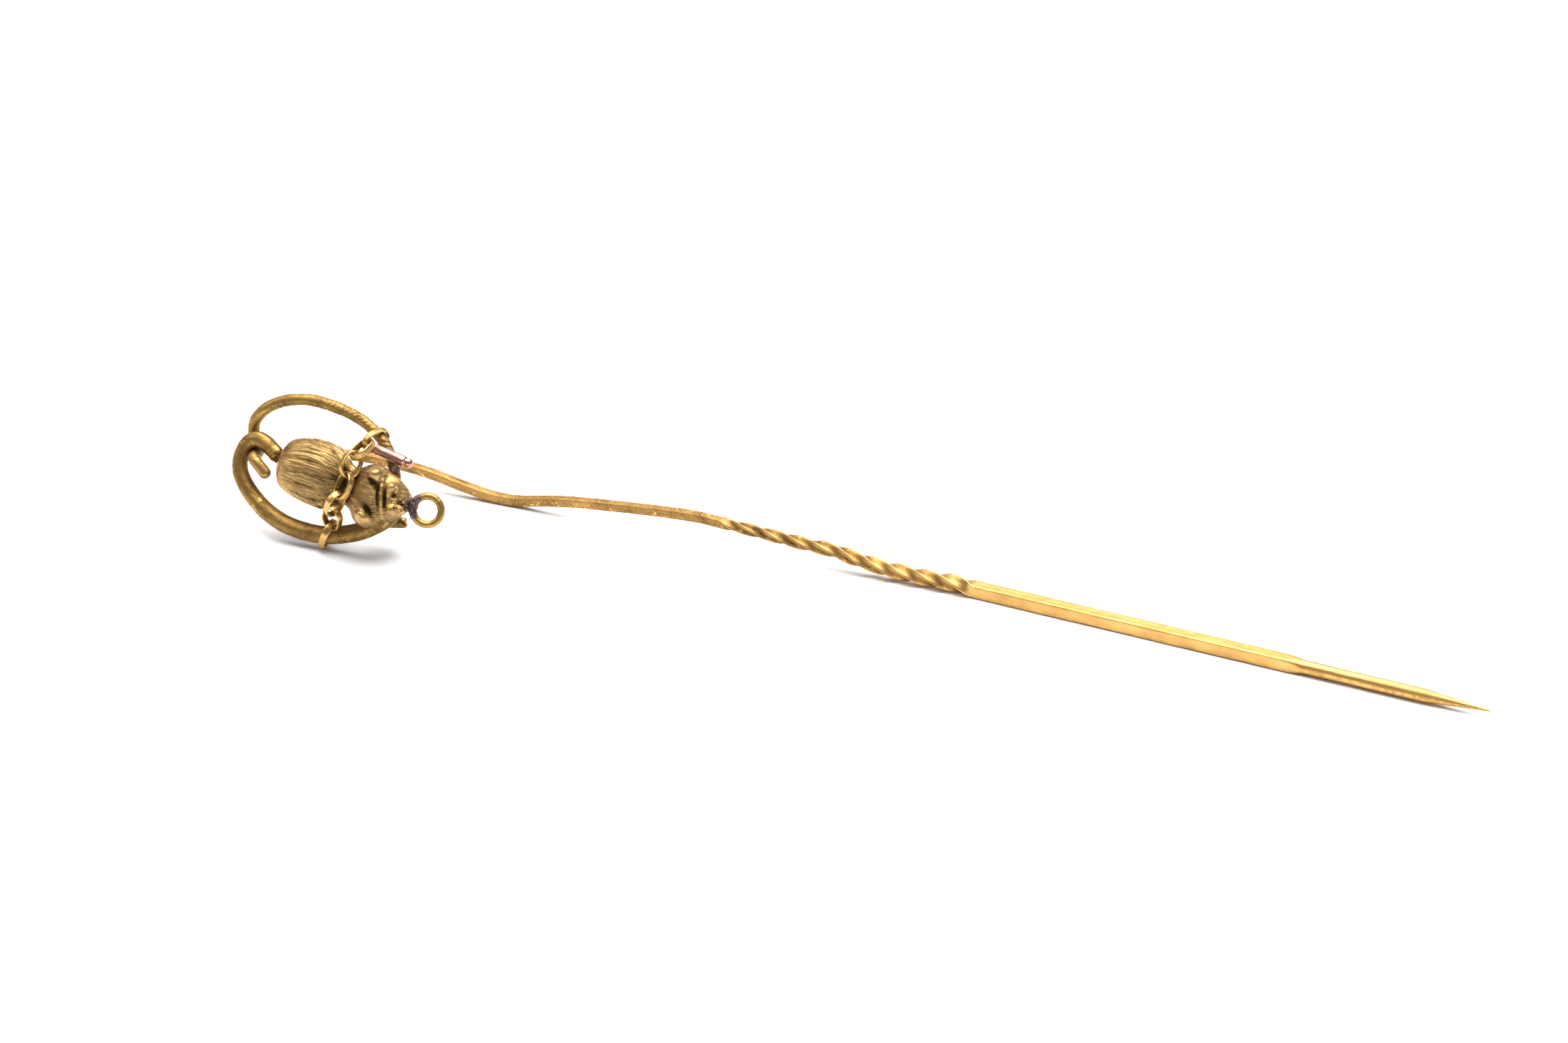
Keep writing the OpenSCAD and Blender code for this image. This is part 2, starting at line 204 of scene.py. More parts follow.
def gold(name, bright, dark, rough, stretch=(1, 1, 1), streak=0.5, bump=0.35, grime=0.5, fleck=0.0):
    """Old gold: colour from dirt in the hollows, from painted shade that some meshes add to the same
    attribute, and from blotches, with fine rubbed streaks.
    """
    m = bpy.data.materials.new(name)
    m.use_nodes = True
    nt = m.node_tree
    b = nt.nodes["Principled BSDF"]
    b.inputs["Metallic"].default_value = 1.0

    def node(kind, **values):
        n = nt.nodes.new(kind)
        for key, value in values.items():
            if hasattr(n, key):
                setattr(n, key, value)
            else:
                n.inputs[key.replace("_", " ")].default_value = value
        return n

    def link(a, b):
        nt.links.new(a, b)

    def math_node(op, a, b, clamp=False):
        n = node("ShaderNodeMath", operation=op, use_clamp=clamp)
        for i, value in enumerate((a, b)):
            if isinstance(value, (int, float)):
                n.inputs[i].default_value = value
            else:
                link(value, n.inputs[i])
        return n.outputs[0]

    where = node("ShaderNodeTexCoord").outputs["Object"]
    flow = node("ShaderNodeAttribute", attribute_name="flow").outputs["Vector"]
    dirt_and_shade = node("ShaderNodeAttribute", attribute_name="dirt_and_shade").outputs["Fac"]
    laid = node("ShaderNodeVectorMath", operation="MULTIPLY")
    laid.inputs[1].default_value = stretch
    link(flow, laid.inputs[0])
    streaks = node("ShaderNodeTexNoise", Scale=9.0, Detail=6.0, Roughness=0.65)
    link(laid.outputs[0], streaks.inputs["Vector"])
    blotch = node("ShaderNodeTexNoise", Scale=900.0, Detail=5.0, Roughness=0.6)
    link(where, blotch.inputs["Vector"])
    fine = node("ShaderNodeTexNoise", Scale=9000.0, Detail=4.0, Roughness=0.7)
    link(where, fine.inputs["Vector"])
    point = node("ShaderNodeNewGeometry").outputs["Pointiness"]
    edge = math_node("MULTIPLY", math_node("SUBTRACT", point, 0.5), 5.0)

    grimy = math_node("MULTIPLY", math_node("SUBTRACT", blotch.outputs["Fac"], 0.42), 2.6 * grime)
    lined = math_node("MULTIPLY", math_node("SUBTRACT", streaks.outputs["Fac"], 0.5), 1.6 * streak)
    # the sum of dirt and painted shade from the attribute, blotches and streaks, made lighter at convex
    # edges
    soil_and_shade = math_node("ADD", dirt_and_shade, grimy)
    soil_and_shade = math_node("ADD", soil_and_shade, lined)
    soil_and_shade = math_node("SUBTRACT", soil_and_shade, edge, clamp=True)
    ramp = node("ShaderNodeValToRGB")
    ramp.color_ramp.elements[0].color = (*bright, 1)
    ramp.color_ramp.elements[1].color = (*dark, 1)
    mid = ramp.color_ramp.elements.new(0.45)
    mid.color = (*[x * 0.62 + y * 0.38 for x, y in zip(bright, dark)], 1)
    link(soil_and_shade, ramp.inputs["Fac"])
    colour = ramp.outputs["Color"]
    if fleck:
        spots = node("ShaderNodeTexVoronoi", Scale=7000.0)
        link(where, spots.inputs["Vector"])
        mask = node("ShaderNodeMapRange", From_Min=0.30, From_Max=0.12, To_Min=0.0, To_Max=fleck)
        link(spots.outputs["Distance"], mask.inputs["Value"])
        mixed = node("ShaderNodeMix", data_type="RGBA")
        link(mask.outputs["Result"], mixed.inputs["Factor"])
        link(colour, mixed.inputs["A"])
        mixed.inputs["B"].default_value = (0.80, 0.78, 0.74, 1)
        colour = mixed.outputs[2]
    link(colour, b.inputs["Base Color"])
    r = node("ShaderNodeMapRange", From_Min=0.0, From_Max=1.0, To_Min=rough, To_Max=min(1.0, rough + 0.34))
    link(soil_and_shade, r.inputs["Value"])
    link(r.outputs["Result"], b.inputs["Roughness"])
    height = math_node("ADD", math_node("MULTIPLY", streaks.outputs["Fac"], streak),
                       math_node("MULTIPLY", fine.outputs["Fac"], 0.5))
    bumped = node("ShaderNodeBump", Strength=bump, Distance=0.00003)
    link(height, bumped.inputs["Height"])
    link(bumped.outputs["Normal"], b.inputs["Normal"])
    return m


hoop_gold = gold("old_gold", (0.385, 0.232, 0.068), (0.050, 0.025, 0.007), 0.40,
                 stretch=(0.35, 1, 1), streak=0.55, grime=0.45)
fur_gold = gold("worn_cast_gold", (0.52, 0.33, 0.125), (0.030, 0.015, 0.005), 0.34,
                stretch=(0.3, 2.2, 1), streak=0.7, grime=0.35)
link_gold = gold("chain_gold", (0.55, 0.34, 0.11), (0.045, 0.021, 0.006), 0.30,
                 stretch=(0.3, 1, 1), streak=0.5, grime=0.4)
pin_gold = gold("pin_gold", (0.66, 0.385, 0.12), (0.085, 0.042, 0.012), 0.36,
                stretch=(0.10, 1.0, 1), streak=0.35, grime=0.22)
rose = gold("red_gold", (0.52, 0.28, 0.22), (0.07, 0.03, 0.028), 0.24,
            stretch=(0.2, 1, 1), streak=0.35, grime=0.3)
grey = gold("dark_solder", (0.15, 0.105, 0.10), (0.016, 0.010, 0.009), 0.38,
            streak=0.2, grime=0.8, bump=0.8, fleck=0.45)


# ---- the animal -----------------------------------------------------------------

bw, bd, hw = 1.6, 1.05, 1.6                             # body's half width and depth, head's half width
# along, up, half width, out, half depth
STATIONS = [
    (-2.08, -0.12, 0.20, 0.05, 0.16), (-2.00, -0.12, 0.34 * bw, 0.16, 0.38 * bd),
    (-1.72, -0.10, 0.64 * bw, 0.28, 0.66 * bd), (-1.25, -0.07, 0.84 * bw, 0.36, 0.85 * bd),
    (-0.55, -0.05, 0.96 * bw, 0.40, 0.97 * bd), (0.20, -0.05, 1.00 * bw, 0.42, 1.00 * bd),
    (0.90, -0.08, 0.97 * bw, 0.46, 0.96 * bd), (1.42, -0.10, 0.80 * bw, 0.50, 0.78 * bd),
    (1.90, -0.12, 0.62 * bw, 0.62, 0.50 * bd), (2.36, -0.14, 0.66 * hw, 0.84, 0.50 * bd),
    (2.90, -0.20, 0.90 * hw, 1.08, 0.68 * bd), (3.55, -0.22, 0.97 * hw, 1.16, 0.76 * bd),
    (4.10, -0.18, 0.82 * hw, 1.14, 0.70 * bd), (4.60, -0.10, 0.64 * hw, 1.08, 0.60 * bd),
    (5.00, -0.06, 0.45 * hw, 1.02, 0.48 * bd), (5.25, -0.03, 0.28 * hw, 1.00, 0.36 * bd)]
# along, up, height, spread along, spread up
RAISED = [(3.36, 0.92, 0.34, 0.36, 0.26), (3.44, -1.30, 0.34, 0.38, 0.28), (4.42, 0.60, 0.20, 0.24, 0.20),
          (4.78, -0.50, 0.20, 0.22, 0.18), (3.85, -0.20, 0.10, 0.12, 0.60)]


def hill(u, v, at, spread, aspect=1.0, tilt=0.0):
    c, s = math.cos(math.radians(tilt)), math.sin(math.radians(tilt))
    x, y = (u - at[0]), (v - at[1])
    x, y = x * c + y * s, -x * s + y * c
    return np.exp(-((x / spread) ** 2 + (y / (spread * aspect)) ** 2))


def animal():
    rows = smooth(STATIONS, 42)
    n = 560
    a = np.linspace(0, 2 * math.pi, n, endpoint=False)[None, :]
    u = rows[:, 0][:, None] * np.ones((1, n))
    v = rows[:, 1][:, None] + rows[:, 2][:, None] * np.cos(a)
    top = np.clip(np.sin(a), 0, 1)
    w = rows[:, 3][:, None] + rows[:, 4][:, None] * np.sin(a)
    for r in RAISED:
        w = w + r[2] * np.exp(-(((u - r[0]) / r[3]) ** 2 + ((v - r[1]) / r[4]) ** 2) / 1.4) * top
    t = np.clip((u - 1.5) / 0.9, 0, 1)
    back = -0.62 + 1.04 * t * t * (3 - 2 * t)
    flat = w < back
    w = np.maximum(w, back)
    # fur: grooves that run along the body and close up at the rump
    x = a / (2 * math.pi)
    bent = x + 0.010 * noise(u * 0.8, x * 6, 3)
    fur = (0.45 * noise(bent * 84, u * 0.7, 5) + 0.50 * noise(bent * 150, u * 1.3 + 9, 7)
           + 0.35 * noise(bent * 250, u * 2.6, 8))
    cuts = -np.clip(noise(bent * 70, u * 0.6 + 3, 11) - 0.2, 0, 1) * 1.3
    on_body = step(-2.05, -1.6, u) * (1 - step(1.3, 1.9, u))
    on_head = step(2.2, 2.8, u)
    relief = on_body * (0.024 * fur + 0.034 * cuts)
    # head: ears, two ridges across, brows, a flat nose bridge and a rough snout
    ear = np.hypot(u - 3.40, v + 1.34)
    relief += top * (0.30 * hill(u, v, (3.48, 1.00), 0.30, 0.85, 25)
                     - 0.16 * hill(u, v, (3.52, 0.50), 0.17, 2.2, 60))
    relief += top * (0.24 * np.exp(-(ear / 0.34) ** 4) - 0.13 * np.exp(-(ear / 0.15) ** 2))
    relief -= top * 0.12 * hill(u, v, (3.62, -0.85), 0.13, 2.6, 50)
    relief += top * 0.10 * hill(u, v, (4.10, 0.05), 0.085, 9.0, 14)
    relief -= top * 0.09 * hill(u, v, (3.93, 0.05), 0.06, 10.0, 14)
    relief -= top * 0.11 * hill(u, v, (4.27, -0.05), 0.075, 8.0, 14)
    relief += top * 0.24 * hill(u, v, (4.45, 0.56), 0.19, 1.0)
    relief += top * 0.13 * hill(u, v, (4.36, 0.22), 0.11, 1.3)
    relief -= top * 0.08 * hill(u, v, (4.62, 0.22), 0.13, 1.0)
    relief += top * 0.15 * hill(u, v, (4.66, -0.55), 0.18, 1.2)
    grain = hill(u, v, (5.02, -0.28), 0.30, 1.1)
    relief += top * grain * 0.15 * np.clip(noise(u * 8.0, v * 8.0, 17) + 0.15, -0.4, 1)
    fine = noise(u * 2.2 + 3, v * 11, 14) + 0.6 * noise(u * 5, v * 22, 15)
    relief += on_head * 0.012 * fine
    p = np.stack([u, v, w], -1)
    uneven = 0.02 * lumps(p, 0.55, 19)
    relief += uneven
    du, da = np.gradient(p, axis=0), np.gradient(p, axis=1)
    normal = np.cross(da, du)
    normal /= np.maximum(np.linalg.norm(normal, axis=2), 1e-9)[..., None]
    middle = np.stack([u, rows[:, 1][:, None] * np.ones_like(u), rows[:, 3][:, None] * np.ones_like(u)], -1)
    outward = np.sign((normal * (p - middle)).sum(-1, keepdims=True))
    ends = (step(-2.08, -1.95, u) * (1 - step(5.15, 5.25, u)))[..., None]
    p = p + normal * outward * (relief * np.where(flat, 0.15, 1.0))[..., None] * ends
    fine_part = relief - uneven
    # dark in the fur grooves and head hollows; painted shade in the band across the neck under the chain and
    # on the side turned away from the light (the (1 - top) term); the body darker towards the neck, the head
    # a little darker overall
    dirt_and_shade = np.clip(0.34 - fine_part * 9.0, 0, 1) + 0.5 * step(1.25, 1.75, u) * (1 - step(2.3, 2.75, u))
    dirt_and_shade += 0.45 * (1 - top) ** 2 + 0.20 * step(0.2, 1.4, u) * (1 - on_head) + 0.10 * on_head
    flow = np.stack([u, a * 1.3 * np.ones_like(u), np.zeros_like(u)], -1)
    return mesh_object("animal", head(p.reshape(-1, 3)), ring_faces(len(rows), n), "pin", "figure",
                       fur_gold, np.clip(dirt_and_shade, 0, 1).ravel(), flow.reshape(-1, 3))


# ---- the hoop ---------------------------------------------------------------------

WIRE = [(3.98, 0.50, 0.06), (3.82, 1.00, 0.06), (3.50, 1.58, 0.04), (3.02, 2.12, 0.02), (2.34, 2.62, 0),
        (1.25, 3.04, 0), (-0.10, 3.22, 0), (-1.45, 3.16, 0), (-2.60, 2.80, 0), (-3.50, 2.16, -0.06),
        (-4.00, 1.42, -0.30), (-4.08, 0.80, -0.62), (-3.84, 0.28, -0.74), (-3.48, -0.08, -0.44),
        (-3.36, -0.24, 0.06), (-3.28, -0.34, 0.42), (-2.92, -0.56, 0.54), (-2.48, -0.86, 0.48)]
TAIL = [(-2.13, -0.01, 0.02), (-2.50, 0.22, 0.02), (-3.00, 0.46, 0.02), (-3.48, 0.54, 0.02),
        (-3.86, 0.30, 0), (-4.06, -0.16, 0), (-4.08, -0.74, 0), (-3.82, -1.36, 0), (-3.18, -1.98, 0),
        (-2.26, -2.56, 0), (-1.16, -2.92, 0), (0.05, -3.02, 0), (1.30, -2.84, 0),
        (2.45, -2.40, -0.02), (3.38, -1.80, -0.04),
        (4.06, -1.10, -0.04), (4.36, -0.50, -0.04)]

WIRE_R, TAIL_R = 0.29, 0.44


def upper_wire():
    p = smooth(WIRE, 34)
    tip = p[-1] - p[-2]
    tip /= np.linalg.norm(tip)
    p = np.concatenate([p, [p[-1] + tip * WIRE_R * x for x in np.sin(np.linspace(0.12, 1.56, 14))]])
    along = length_along(p)
    whole = along[-15]

    def radius(s, a):
        end = np.clip((s - whole) / WIRE_R, 0, 0.999)
        return WIRE_R * np.sqrt(1 - end ** 2)

    def relief(s, a, rings, out):
        # slanting engraved nicks over the stretch beside the chain
        where = step(1.3, 1.9, s) * (1 - step(5.8, 6.8, s))
        phase = s / 0.25 + a / (2 * math.pi) * 4.0 + 0.30 * noise(s * 1.6, a * 1.2, 21)
        nick = np.clip(np.cos(2 * math.pi * phase) + 0.1, 0, 1) * (0.65 + 0.35 * noise(s * 3, a * 1.2, 23))
        return -0.026 * where * nick + 0.014 * lumps(rings, 0.5, 25) + 0.005 * lumps(rings, 0.12, 27)

    rings, depth, flow, s, a = tube(p, radius, (0, 0, 1), 72, relief)
    dirt_and_shade = np.clip(0.24 - depth * 7, 0, 1)
    return mesh_object("upper_wire", head(rings.reshape(-1, 3)), ring_faces(len(p), 72), "pin", "hoop_wire",
                       hoop_gold, dirt_and_shade.ravel(), flow.reshape(-1, 3))


def tail_loop():
    p = smooth([(-1.80, -0.10, 0.10), *TAIL], 36)
    total = length_along(p)[-1]

    def radius(s, a):
        f = np.clip(s - 0.34, 0, None) / (total - 0.34)
        whole = TAIL_R * np.where(f < 0.2, 0.94 - 0.3 * f, 0.88 + 0.12 * np.clip((f - 0.2) / 0.3, 0, 1))
        return whole * (0.62 + 0.38 * step(0.15, 0.62, s))

    def relief(s, a, rings, out):
        fur = noise(a * 5, s * 0.9, 31) * 0.010 * (1 - step(1.6, 3.2, s))
        seam = -0.02 * np.exp(-((s - 0.42) / 0.06) ** 2)
        wear = 0.014 * lumps(rings, 0.8, 33) + 0.006 * lumps(rings, 0.2, 35)
        return fur + seam + wear + 0.006 * noise(a * 12, s * 0.9, 37)

    rings, depth, flow, s, a = tube(p, radius, (0, 0, 1), 88, relief)
    dirt_and_shade = np.clip(0.32 - depth * 9, 0, 1) + 0.6 * (1 - step(0.3, 0.9, s))
    return mesh_object("tail_loop", head(rings.reshape(-1, 3)), ring_faces(len(p), 88), "pin", "tail_strand",
                       hoop_gold, np.clip(dirt_and_shade, 0, 1).ravel(), flow.reshape(-1, 3))


# ---- ring, solder, rods --------------------------------------------------------------

RING = turn("y", 12)
RING_R = 0.68                                           # to the middle of the ring's wire
RING_HOLE = 0.51


def ring_grid(start, stop, m, n, tube_r, closed):
    b = np.linspace(math.radians(start), math.radians(stop), m, endpoint=not closed)[:, None]
    a = np.linspace(0, 2 * math.pi, n, endpoint=False)[None, :]
    r = tube_r(b, a)
    out = np.stack([np.cos(a) * np.cos(b), np.cos(a) * np.sin(b), np.sin(a) * np.ones_like(b)], -1)
    p = np.stack([RING_R * np.cos(b) * np.ones_like(a), RING_R * np.sin(b) * np.ones_like(a),
                  np.zeros(r.shape)], -1)
    return p, out, r, b, a


def snout_ring():
    p, out, r, b, a = ring_grid(0, 360, 240, 64, lambda b, a: 0.20 * np.ones((len(b), a.shape[1])), True)
    rings = p + out * r[..., None]
    inside = np.hypot(rings[..., 0], rings[..., 1]) < 0.512
    depth = 0.010 * lumps(rings, 0.4, 41) + 0.005 * lumps(rings, 0.1, 43) - 0.012
    rings = rings + out * np.where(inside, 0, depth)[..., None]
    d = np.hypot(rings[..., 0], rings[..., 1])
    rings[..., :2] *= (np.maximum(d, RING_HOLE) / d)[..., None]
    dirt_and_shade = np.clip(0.28 - (depth + 0.012) * 14, 0, 1) + 0.6 * np.exp(-((b - math.pi) / 0.9) ** 2)
    flow = np.stack([b * RING_R * np.ones_like(a), a * 0.2 * np.ones_like(b), np.zeros(r.shape)], -1)
    verts = head(rings.reshape(-1, 3) @ RING.T + RING_AT)
    return mesh_object("snout_ring", verts, ring_faces(240, 64, closed=True), "pin", "snout_ring",
                       hoop_gold, np.clip(dirt_and_shade, 0, 1).ravel(), flow.reshape(-1, 3))


def solder_wrap():
    """Solder that ran round the ring's wire where it meets the snout."""
    def radius(b, a):
        f = np.clip(1 - np.abs((b - math.pi) / math.radians(56)) ** 3, 0, 1)
        rough = 0.028 * noise(b * 6, a * 1.6, 51) + 0.014 * noise(b * 16, a * 4, 53)
        inner = np.clip(-np.cos(a), 0, 1)
        return 0.175 + f * (0.055 + rough) * (1 - inner)

    p, out, r, b, a = ring_grid(122, 238, 90, 56, radius, False)
    rings = p + out * r[..., None]
    d = np.hypot(rings[..., 0], rings[..., 1])
    rings[..., :2] *= (np.maximum(d, RING_HOLE) / d)[..., None]
    dirt_and_shade = np.clip(0.5 - (r - 0.22) * 8, 0, 1)
    verts = head(rings.reshape(-1, 3) @ RING.T + RING_AT)
    return mesh_object("solder_wrap", verts, ring_faces(90, 56), "pin", None, grey, dirt_and_shade.ravel())


def solder_neck():
    """The fillet from the snout to the ring."""
    m, n = 60, 72
    s = np.linspace(0, 0.50, m)[:, None]
    a = np.linspace(0, 2 * math.pi, n, endpoint=False)[None, :]
    r = (0.36 - 0.18 * np.sin(np.clip(s / 0.5, 0, 1) * math.pi * 0.5)) * np.ones_like(a)
    r = r + 0.035 * noise(s * 7, a * 1.6, 55) + 0.015 * noise(s * 18, a * 4, 57)
    rings = np.stack([5.20 + s * np.ones_like(a), -0.03 + r * np.cos(a), 1.0 + r * np.sin(a)], -1)
    dirt_and_shade = np.clip(0.5 - (r - 0.27) * 5, 0, 1)
    return mesh_object("solder_neck", head(rings.reshape(-1, 3)), ring_faces(m, n), "pin", "ring_solder",
                       grey, dirt_and_shade.ravel())


def lathe(name, profile, at, aim, node, material, relief, n=72, dirt_at=None):
    """Turns a profile of (distance, radius) about an axis in the head's frame."""
    prof = np.array(profile, float)
    t = np.linspace(0, len(prof) - 1, 14 * (len(prof) - 1) + 1)
    s = np.interp(t, range(len(prof)), prof[:, 0])[:, None]
    r = np.interp(t, range(len(prof)), prof[:, 1])[:, None]
    a = np.linspace(0, 2 * math.pi, n, endpoint=False)[None, :]
    depth = relief(s, a) * np.minimum(1, r / 0.12)
    r = r + depth
    rings = np.stack([s * np.ones_like(a), r * np.cos(a), r * np.sin(a)], -1)
    dirt_and_shade = np.clip(0.30 - depth * 14, 0, 1) + (dirt_at(s) if dirt_at else 0) * np.ones_like(a)
    flow = np.stack([s * np.ones_like(a), a * 0.3 * np.ones_like(s), np.zeros(r.shape)], -1)
    return mesh_object(name, head(rings.reshape(-1, 3) @ turn("z", aim).T + np.array(at)),
                       ring_faces(len(t), n), "pin", node, material, np.clip(dirt_and_shade, 0, 1).ravel(),
                       flow.reshape(-1, 3))


def rods():
    bead = [(1.75 + 0.30 * math.sin(x), 0.247 * math.cos(x)) for x in np.linspace(0.02, 1.5, 12)]
    lathe("red_gold_rod", [(0, 0.02), (0, 0.22), (0.035, 0.258), (0.8, 0.262), (1.60, 0.260),
                           (1.655, 0.215), (1.70, 0.212), (1.74, 0.245)] + bead, (2.72, 1.96, 0.65), -5,
          "rose_rod", rose,
          lambda s, a: 0.006 * noise(s * 2, a * 2, 61) + 0.003 * noise(s * 9, a * 6, 63), 88,
          lambda s: 0.8 * np.exp(-((s - 1.675) / 0.045) ** 2))
    lathe("blunt_stub", [(-0.0, 0.02), (0, 0.25), (0.04, 0.268), (1.16, 0.268), (1.25, 0.245), (1.29, 0.19),
                         (1.30, 0.02)], (3.55, -1.50, -0.77), 17, "lower_stub", hoop_gold,
          lambda s, a: 0.012 * noise(s * 3, a * 1.5, 65) + 0.006 * noise(s * 10, a * 5, 67) - 0.006)


def blob(name, at, size, aim, node, seed):
    """A rough drop of solder."""
    lump = 0.16                                         # how uneven it is, as a share of its size
    m, n = 70, 90
    b = np.linspace(0.02, math.pi - 0.02, m)[:, None]
    a = np.linspace(0, 2 * math.pi, n, endpoint=False)[None, :]
    d = np.stack([np.sin(b) * np.cos(a), np.sin(b) * np.sin(a), np.cos(b) * np.ones_like(a)], -1)
    r = 1 - lump * 0.6 + lump * lumps(d, 0.55, seed) + 0.4 * lump * lumps(d, 0.2, seed + 1)
    p = d * r[..., None] * np.array(size)
    dirt_and_shade = np.clip(0.5 - (r - 0.9) * 2.5, 0, 1)
    return mesh_object(name, p.reshape(-1, 3) @ aim.T + at, ring_faces(m, n), "pin", node, grey,
                       dirt_and_shade.ravel())


# ---- the pin wire ------------------------------------------------------------------------

TIP_R = 0.06
TURNS = 2.5
BASE = HEAD_AT - TABLE
STEM = BASE + np.array([-0.54, 0.48, -0.40])


def pin_line(n):
    bends = [STEM, STEM + [-0.02, 0.61, -0.35], STEM + [-0.34, 2.28, -0.78], (1.42, -1.10, 1.40),
             (1.66, -0.42, 1.26), (2.30, -0.08, 1.18), (3.40, 0, 1.14), (5.70, 0, 0.98), (7.80, 0, 0.56),
             (9.40, 0, UP + 0.06), (10.8, 0, UP + 0.08), (12.6, 0, 0.66), (14.2, 0, 0.90), (16.2, 0, 1.10),
             (18.6, 0, 1.30), (20.3, 0, 1.38), (PLAIN, 0, 1.32)]
    drop = [(0.30, 1.06), (0.45, 0.95), (0.55, 0.72), (0.68, 0.50), (0.82, 0.44), (0.94, 0.44)]
    twisted = [(PLAIN + TWIST * x, 0, max(z, LOW * 1.3)) for x, z in drop]
    a = smooth([*bends, *twisted, FOOT, FOOT + np.array([2, 2 * AIM[1] / (1 + AIM[0]), 0])], n)
    return a[: len(a) - n - 1]


def pin_wire():
    bent = pin_line(60)
    reach = SQUARE + ROUND + POINT - TIP_R              # the point's rounded end starts here
    s = np.linspace(0, reach, 560)[:, None]
    cap = reach + TIP_R * np.sin(np.linspace(0.1, 1.5, 8))[:, None]
    p = np.concatenate([bent, FOOT + AIM * np.concatenate([s, cap])])[::-1]
    m = len(p)
    x = p[:, 0]
    far = x - FOOT[0] > 0
    past = np.where(far, (p - FOOT) @ AIM, 0)
    hidden = (p[:, 1] < -0.5) & (x < 3)
    through = np.where(hidden, 0, np.clip((x - PLAIN) / TWIST, 0, 1))
    half = UP + (LOW - UP) * through
    taper = np.clip((past - SQUARE - ROUND) / (POINT - TIP_R), 0, 1)
    half = half * (1 - taper) + TIP_R * taper
    over = np.clip((past - reach) / TIP_R, 0, 0.999)
    half = half * np.sqrt(1 - over ** 2)
    round_off = step(SQUARE - 1.2, SQUARE + 0.2, past)
    stem = np.clip(1 - np.arange(m)[::-1] / 170.0, 0, 1)
    power = 2 + 8 * (1 - round_off) * (1 - stem)
    spin = -TURNS * 2 * math.pi * through
    t, side, f = sides(p, (0, 0, 1))
    n = 80
    # section points gather at the corners, which keeps the edges crisp
    q = np.linspace(0, 2 * math.pi, n, endpoint=False)
    a = (q - 0.19 * np.sin(4 * q + math.pi))[None, :]
    r = section(half[:, None], power[:, None], a)
    ang = a + spin[:, None]
    out = side[:, None] * np.cos(ang)[..., None] + f[:, None] * np.sin(ang)[..., None]
    rings = p[:, None] + out * r[..., None]
    along = length_along(p)[:, None]
    wear = (0.009 * lumps(rings, 1.3, 71) + 0.005 * lumps(rings, 0.35, 73)
            + 0.003 * noise(a * 14, along * 0.6, 75))
    wear = (wear - 0.012) * np.clip(half / 0.2, 0.1, 1)[:, None]
    # a hammered, uneven feel where the wire was gripped and twisted
    live = step(0.0, 0.08, through) * (1 - step(0.93, 1.0, through))
    wear -= live[:, None] * 0.022 * (1 - np.clip((r / half[:, None] - 1) / 0.2, 0, 1))
    rings = rings + out * wear[..., None]
    flat = 1 - np.clip((r / half[:, None] - 1) / 0.2, 0, 1)
    # the upper stretch (upper) and the stem end (stem) get painted shade, as they lie in the shade behind
    # and under the head; the twist's flat faces are darker than its corners
    upper = (1 - step(PLAIN - 2, PLAIN + TWIST * 0.9, x))[:, None]
    dirt_and_shade = 0.10 + 0.36 * upper + live[:, None] * 0.34 * flat - wear * 4
    dirt_and_shade = dirt_and_shade + 0.6 * stem[:, None] + 0.10 * noise(along * 0.5, a * 0.5, 77)
    flow = np.stack([along * np.ones_like(a), a * r, np.zeros(r.shape)], -1)
    verts = rings.reshape(-1, 3) + TABLE
    return mesh_object("pin_wire", verts, ring_faces(m, n), "pin", "pin_shank", pin_gold,
                       np.clip(dirt_and_shade, 0, 1).ravel(), flow.reshape(-1, 3))


# ---- the chain ------------------------------------------------------------------------------

LINKS = [(2.46, 2.32, 0.26), (2.22, 1.80, 1.12), (2.08, 0.96, 1.62), (2.10, -0.12, 1.78),
         (1.82, -1.10, 1.54), (1.66, -1.86, 0.86), (1.40, -2.74, 0.10)]
ROLL = [-54, 41, -49, 36, -72, 7, -102]
LARGER = [(0.16, 0.12), (0, 0), (0, 0), (0, 0), (0, 0), (0, 0), (0.22, 0.24)]
RIBBON, THICK = 0.36, 0.14


